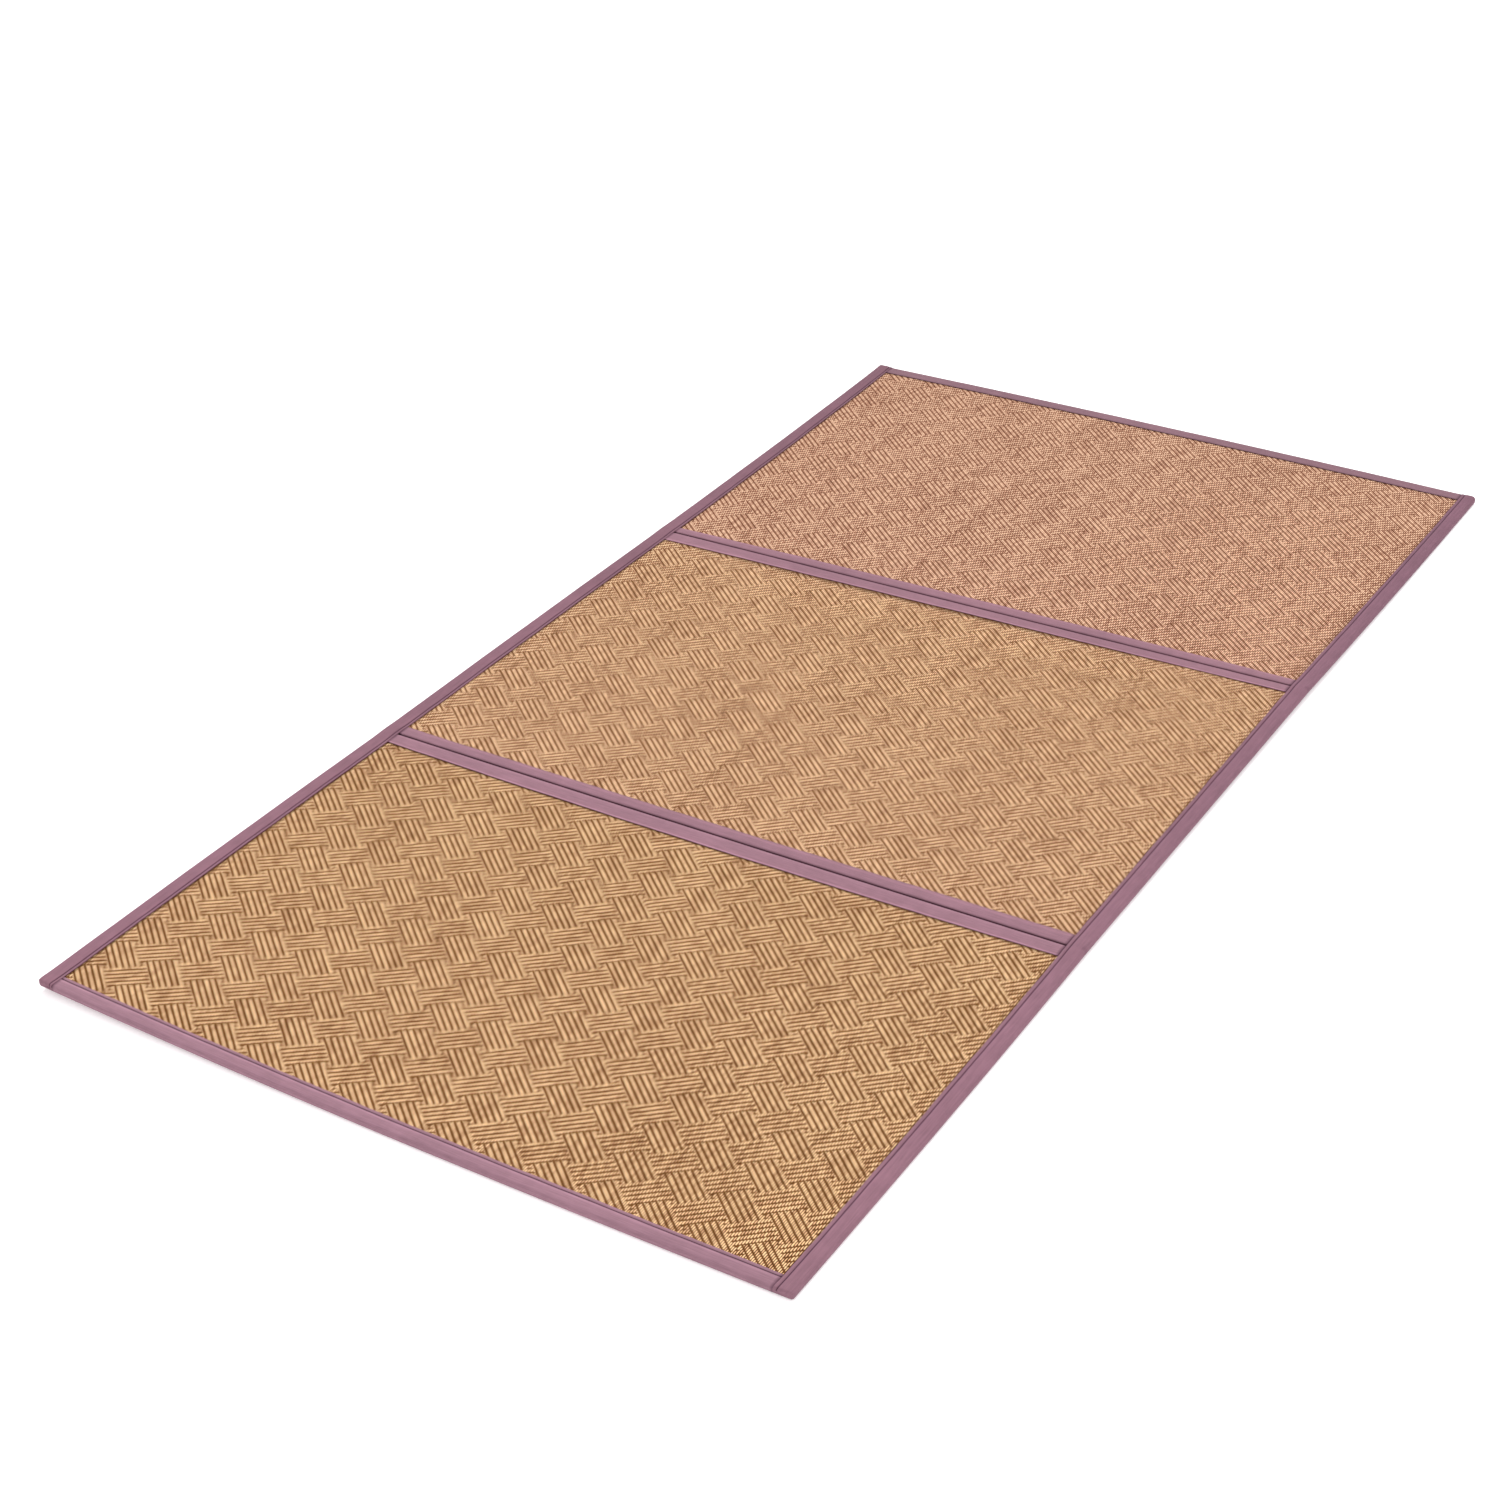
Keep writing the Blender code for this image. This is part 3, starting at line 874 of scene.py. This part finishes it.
def stitch_tree():
    tree = bpy.data.node_groups.new("stitches_along_seam", "GeometryNodeTree")
    # The modifier gives nothing unless the geometry is the first input
    for name, kind in (("Seam", "Geometry"), ("Pitch", "Float"), ("Length", "Float"),
                       ("Thread Radius", "Float"), ("Material", "Material")):
        tree.interface.new_socket(name, in_out="INPUT", socket_type=f"NodeSocket{kind}")
    tree.interface.new_socket("Stitches", in_out="OUTPUT", socket_type="NodeSocketGeometry")
    nodes, links = tree.nodes, tree.links
    given, result = nodes.new("NodeGroupInput"), nodes.new("NodeGroupOutput")
    curve = nodes.new("GeometryNodeMeshToCurve")
    spaced = nodes.new("GeometryNodeResampleCurve")
    spaced.mode = "LENGTH"
    tangent = nodes.new("GeometryNodeInputTangent")
    aim = nodes.new("FunctionNodeAlignRotationToVector")
    aim.axis = "Z"
    bead = nodes.new("GeometryNodeMeshUVSphere")
    bead.inputs["Segments"].default_value = 6
    bead.inputs["Rings"].default_value = 4
    bead.inputs["Radius"].default_value = 1.0
    half = nodes.new("ShaderNodeMath")
    half.operation = "MULTIPLY"
    half.inputs[1].default_value = 0.5
    size = nodes.new("ShaderNodeCombineXYZ")
    copies = nodes.new("GeometryNodeInstanceOnPoints")
    real = nodes.new("GeometryNodeRealizeInstances")
    painted = nodes.new("GeometryNodeSetMaterial")
    links.new(given.outputs["Seam"], curve.inputs["Mesh"])
    links.new(curve.outputs["Curve"], spaced.inputs["Curve"])
    links.new(given.outputs["Pitch"], spaced.inputs["Length"])
    links.new(spaced.outputs["Curve"], copies.inputs["Points"])
    links.new(tangent.outputs["Tangent"], aim.inputs["Vector"])
    links.new(aim.outputs["Rotation"], copies.inputs["Rotation"])
    links.new(bead.outputs["Mesh"], copies.inputs["Instance"])
    links.new(given.outputs["Length"], half.inputs[0])
    links.new(given.outputs["Thread Radius"], size.inputs["X"])
    links.new(given.outputs["Thread Radius"], size.inputs["Y"])
    links.new(half.outputs[0], size.inputs["Z"])
    links.new(size.outputs[0], copies.inputs["Scale"])
    links.new(copies.outputs["Instances"], real.inputs["Geometry"])
    links.new(real.outputs["Geometry"], painted.inputs["Geometry"])
    links.new(given.outputs["Material"], painted.inputs["Material"])
    links.new(painted.outputs["Geometry"], result.inputs["Stitches"])
    return tree


def sew(name, flat_seam, tree, material):
    """A row of stitches along a seam given by its points on the flat mat."""
    seam = bpy.data.meshes.new(f"{name}_seam")
    points = lay(flat_seam)
    seam.from_pydata([tuple(p) for p in points], [(i, i + 1) for i in range(len(points) - 1)], [])
    guide = bpy.data.objects.new(f"{name}_guide", seam)
    bpy.context.scene.collection.objects.link(guide)
    modifier = guide.modifiers.new("stitches", "NODES")
    modifier.node_group = tree
    values = {"Pitch": STITCH_PITCH, "Length": STITCH_LENGTH, "Thread Radius": THREAD_RADIUS,
              "Material": material}
    for item in tree.interface.items_tree:
        if item.in_out == "INPUT" and item.name in values:
            modifier[item.identifier] = values[item.name]
    evaluated = guide.evaluated_get(bpy.context.evaluated_depsgraph_get())
    mesh = bpy.data.meshes.new_from_object(evaluated)
    mesh.name = name
    bpy.data.objects.remove(guide, do_unlink=True)
    piece = bpy.data.objects.new(name, mesh)
    bpy.context.scene.collection.objects.link(piece)
    return piece


def seam_height(y=None):
    """Height of the stitches, at a place along a long binding where one is given."""
    base = MAT_THICKNESS - SEAM_DEPTH + THREAD_RADIUS * 0.5
    return base if y is None else base + binding_rise(y)


def end_seam(edge_y, inwards_sign, band):
    """The seam of a binding across the mat."""
    seam = []
    for x in between_sides(edge_y, 0.01):
        inwards = band_place(band, band.seam * BAND_WIDTH, x / HALF_WIDTH)
        seam.append((x, edge_y + inwards_sign * inwards, seam_height()))
    return seam


def long_seam(side, band):
    """The seam of a long binding."""
    seam = []
    for y in stops(-HALF_LENGTH + SEAM_END, HALF_LENGTH - SEAM_END, 0.006):
        inwards = band_place(band, band.seam * BAND_WIDTH, y / HALF_LENGTH)
        seam.append((side * (HALF_WIDTH - inwards), y, seam_height(y)))
    return seam


# Hinge strips

def hinge_strip(name, fold, material):
    half = HINGE_HALF_WIDTH
    xs = between_sides(fold, 0.01)
    section = [(-half, 0.0), (half, 0.0), (half, CLOTH), (0.0, CLOTH * 1.1), (-half, CLOTH)]
    flat = [(x, fold + HINGE_PLACE + s, h) for x in xs for s, h in section]
    place = [(x, s + h) for x in xs for s, h in section]
    count = len(section)
    faces = []
    for i in range(len(xs) - 1):
        for k in range(count):
            m = (k + 1) % count
            faces.append([i * count + k, i * count + m, (i + 1) * count + m, (i + 1) * count + k])
    faces.append(list(range(count)))
    faces.append(list(range((len(xs) - 1) * count, len(xs) * count)))
    smooth = [0.0] * len(flat)
    return finish_cloth(name, flat, faces, material, smooth, smooth, place)


# Camera, floor and light

def place_camera():
    data = bpy.data.cameras.new("camera")
    data.sensor_width = SENSOR
    data.lens = CAMERA_LENS
    data.clip_end = 100.0
    camera = bpy.data.objects.new("camera", data)
    bpy.context.scene.collection.objects.link(camera)
    turn = Matrix.Rotation(math.radians(CAMERA_HEADING), 4, "Z")
    turn = turn @ Matrix.Rotation(math.radians(90 + CAMERA_PITCH), 4, "X")
    turn = turn @ Matrix.Rotation(math.radians(CAMERA_ROLL), 4, "Z")
    camera.matrix_world = Matrix.Translation(CAMERA_PLACE) @ turn
    bpy.context.scene.camera = camera


def lay_floor():
    mesh = bpy.data.meshes.new("floor")
    corners = [(x * FLOOR_REACH, y * FLOOR_REACH, 0) for x, y in ((-1, -1), (1, -1), (1, 1), (-1, 1))]
    mesh.from_pydata(corners, [], [(0, 1, 2, 3)])
    mesh.materials.append(floor_material())
    floor = bpy.data.objects.new("floor", mesh)
    bpy.context.scene.collection.objects.link(floor)
    floor.location.z = -FLOOR_DROP


def light_studio():
    """Even light from all round and one broad lamp behind the mat, shown without a film look."""
    world = bpy.data.worlds.new("soft_studio")
    bpy.context.scene.world = world
    world.use_nodes = True
    background = world.node_tree.nodes["Background"]
    background.inputs["Color"].default_value = (1.0, 1.0, 1.0, 1.0)
    background.inputs["Strength"].default_value = SKY_LEVEL
    data = bpy.data.lights.new("lamp", "SUN")
    data.angle = math.radians(LAMP_SPREAD)
    data.energy = LAMP_LEVEL * math.pi / math.sin(math.radians(LAMP_HEIGHT))
    lamp = bpy.data.objects.new("lamp", data)
    bpy.context.scene.collection.objects.link(lamp)
    lamp.matrix_world = (Matrix.Rotation(math.radians(LAMP_HEADING), 4, "Z")
                         @ Matrix.Rotation(math.radians(LAMP_HEIGHT - 90), 4, "X"))
    bpy.context.scene.view_settings.view_transform = "Standard"


# The whole mat

def dress(piece, node, flat):
    """Puts a finished piece in place of its CAD node."""
    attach(piece, BODY)
    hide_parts(node)


def make_straws():
    # Per panel: painted shadow between strands, valley colour darkened with painted shade, the straw's own
    # body colour and a painted highlight.
    return (
        straw_material("straw_front", tint(60, 26, 6), tint(150, 98, 56), tint(246, 182, 128, 1.2),
                       tint(255, 218, 168, 1.1)),
        straw_material("straw_middle", tint(68, 30, 10), tint(162, 110, 72), tint(252, 188, 140, 1.2),
                       tint(255, 216, 172, 1.1)),
        straw_material("straw_back", tint(76, 36, 18), tint(164, 110, 82), tint(246, 180, 146, 1.2),
                       tint(255, 212, 178, 1.1)),
    )


def make_stitch_row(node, flat_seam, tree, thread):
    row = sew(f"stitches_{node}", flat_seam, tree, thread)
    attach(row, BODY)
    return row


def make_hinge(i, fold, material):
    piece = hinge_strip(f"cloth_hinge_strip_{i}", fold, material)
    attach(piece, BODY)
    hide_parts(f"hinge_strip_{i}")
    return piece


def dress_mat():
    for index, straw in enumerate(make_straws()):
        piece = make_panel(index, straw)
        name = WEAVES[index][0]
        near, far = panel_ends(index)
        dress(piece, f"panel_{name}", (2 * (HALF_WIDTH - EDGE_INSET), far - near))

    # The bindings are one cloth: their tints are painted lighter or darker band by band for how light falls
    # on each, and most grow darker towards the back.
    front_cloth = cloth_material("cloth_front_end", tint(176, 133, 148), tint(176, 133, 148))
    fold_cloth = cloth_material("cloth_folds", tint(174, 130, 145), tint(168, 124, 138))
    back_cloth = cloth_material("cloth_back_end", tint(155, 116, 128), tint(155, 116, 128))
    left_cloth = cloth_material("cloth_left_side", tint(161, 117, 132), tint(144, 103, 117))
    right_cloth = cloth_material("cloth_right_side", tint(165, 121, 136), tint(148, 106, 123))
    # The hinge strips are painted the deep shade they lie in at the bottom of the fold gaps.
    hinge_cloth = cloth_material("hinge_cloth", tint(72, 20, 50), tint(72, 20, 50))
    thread = thread_material()
    stitches = stitch_tree()
    hinges = [make_hinge(1, FOLD_1, hinge_cloth), make_hinge(2, FOLD_2, hinge_cloth)]

    half_gap = FOLD_GAP / 2
    ends = (
        ("binding_front_end", -HALF_LENGTH, 1, front_cloth, 0, ()),
        ("binding_fold_1_front", FOLD_1 - half_gap, -1, fold_cloth, 0, hinges[:1]),
        ("binding_fold_1_back", FOLD_1 + half_gap, 1, fold_cloth, 1, ()),
        ("binding_fold_2_front", FOLD_2 - half_gap, -1, fold_cloth, 1, hinges[1:]),
        ("binding_fold_2_back", FOLD_2 + half_gap, 1, fold_cloth, 2, ()),
        ("binding_back_end", HALF_LENGTH, -1, back_cloth, 2, ()),
    )
    for salt, (node, edge_y, sign, cloth, panel, sewn_on) in enumerate(ends):
        band = BANDS[node]
        piece = end_binding(f"sewn_{node}", edge_y, sign, band, cloth, salt)
        if band.seam < 0.9:
            sewn_on = [make_stitch_row(node, end_seam(edge_y, sign, band), stitches, thread)]
        dress(piece, node, cut_size(band, MAT_WIDTH - 2 * BAND_WIDTH))

    sides = (
        ("binding_left_side", -1, ROUND_CORNER, SHARP_CORNER, left_cloth),
        ("binding_right_side", 1, SHARP_CORNER, ROUND_CORNER, right_cloth),
    )
    for salt, (node, side, front_radius, back_radius, cloth) in enumerate(sides, start=8):
        band = BANDS[node]
        piece = long_binding(f"sewn_{node}", side, front_radius, back_radius, band, cloth, salt)
        row = make_stitch_row(node, long_seam(side, band), stitches, thread)
        dress(piece, node, cut_size(band, MAT_LENGTH))


place_camera()
lay_floor()
light_studio()
dress_mat()
